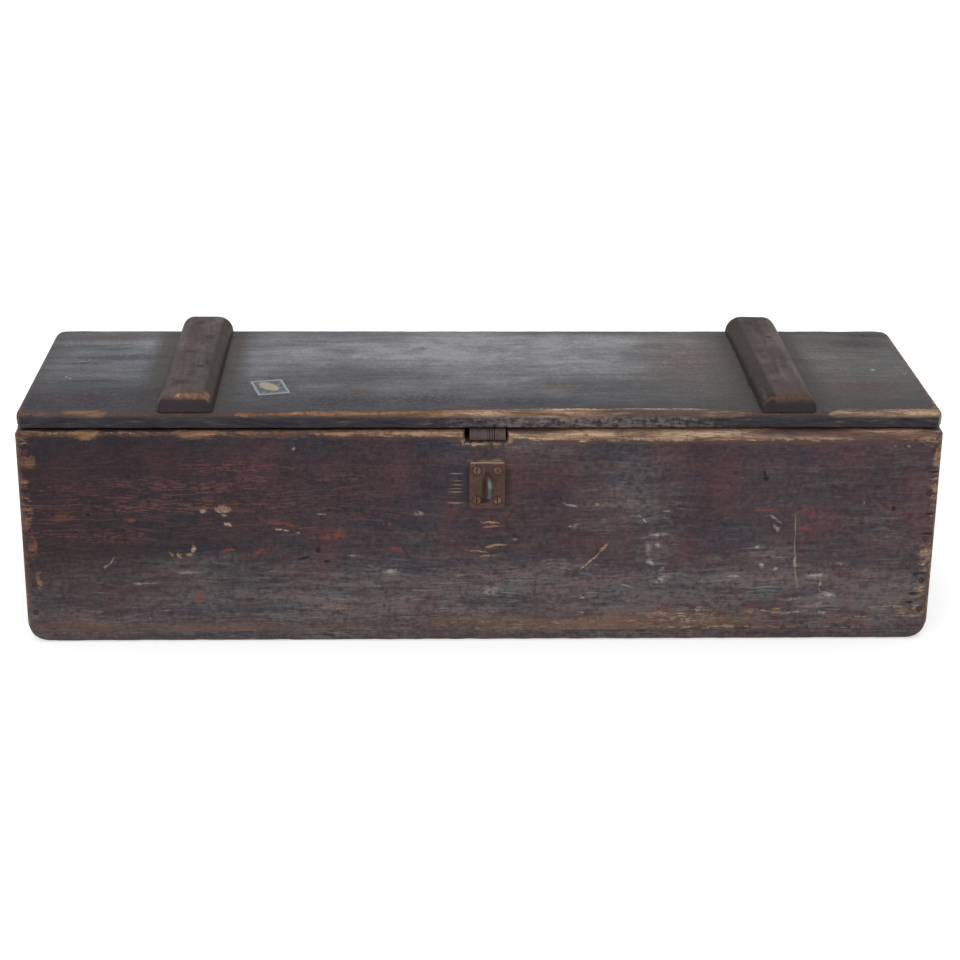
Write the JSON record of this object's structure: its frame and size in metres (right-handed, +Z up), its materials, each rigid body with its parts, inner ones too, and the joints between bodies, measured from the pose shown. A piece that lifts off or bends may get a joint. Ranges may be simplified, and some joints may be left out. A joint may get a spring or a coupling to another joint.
{
  "type": "wooden tool box",
  "caption": "Long low wooden tool box with a hinged plank lid, battens across the lid, and an iron hasp and staple at the front.",
  "frame": {"origin": "middle of the underside of the box, on the surface that it stands on", "axes": "+X along the box to the right as seen from the front, +Y from the front board to the hinges, +Z up"},
  "size_m": [0.934, 0.3113, 0.268],
  "materials": {
    "box_paint": "worn dark paint on pine, arrises bare",
    "lid_paint": "worn charcoal paint on pine, dusty",
    "batten_wood": "worn brown paint on pine",
    "nail_iron": "dark rusted steel",
    "staple_iron": "rust-brown iron, matt",
    "hasp_iron": "brown-grey iron, matt",
    "hinge_iron": "rust-brown iron, matt",
    "label_paper": "aged printed paper"
  },
  "bodies": {
    "box": {"front_board": "box_paint", "back_board": "box_paint", "left_end_board": "box_paint", "right_end_board": "box_paint", "bottom_board": "box_paint", "front_corner_nails": "nail_iron", "back_corner_nails": "nail_iron", "bottom_nails": "nail_iron", "staple_plate": "staple_iron", "staple_loop": "staple_iron", "staple_screws": "staple_iron", "left_hinge_box_leaf": "hinge_iron", "right_hinge_box_leaf": "hinge_iron", "left_hinge_pin": "hinge_iron", "right_hinge_pin": "hinge_iron", "hinge_box_screws": "hinge_iron"},
    "lid": {"lid_board": "lid_paint", "left_batten": "batten_wood", "right_batten": "batten_wood", "batten_nails": "nail_iron", "left_hinge_lid_leaf": "hinge_iron", "right_hinge_lid_leaf": "hinge_iron", "hinge_lid_screws": "hinge_iron", "hasp_lid_leaf": "hasp_iron", "hasp_screws": "hasp_iron", "hasp_pin": "hasp_iron", "lid_label": "label_paper"},
    "hasp": {"hasp_strap": "hasp_iron"}
  },
  "joints": [
    {"name": "lid_hinge", "type": "hinge", "parent": "box", "child": "lid", "pos_m": [0, 0.147, 0.23335], "axis": [-1, 0, 0], "range_deg": [0, 190]},
    {"name": "hasp_swing", "type": "hinge", "parent": "lid", "child": "hasp", "pos_m": [0.0054, -0.1407, 0.2275], "axis": [-1, 0, 0], "range_deg": [0, 171]}
  ],
  "couplings": [
    {"joint": "hasp_swing", "follows": "lid_hinge", "ratio": 0.9}
  ]
}
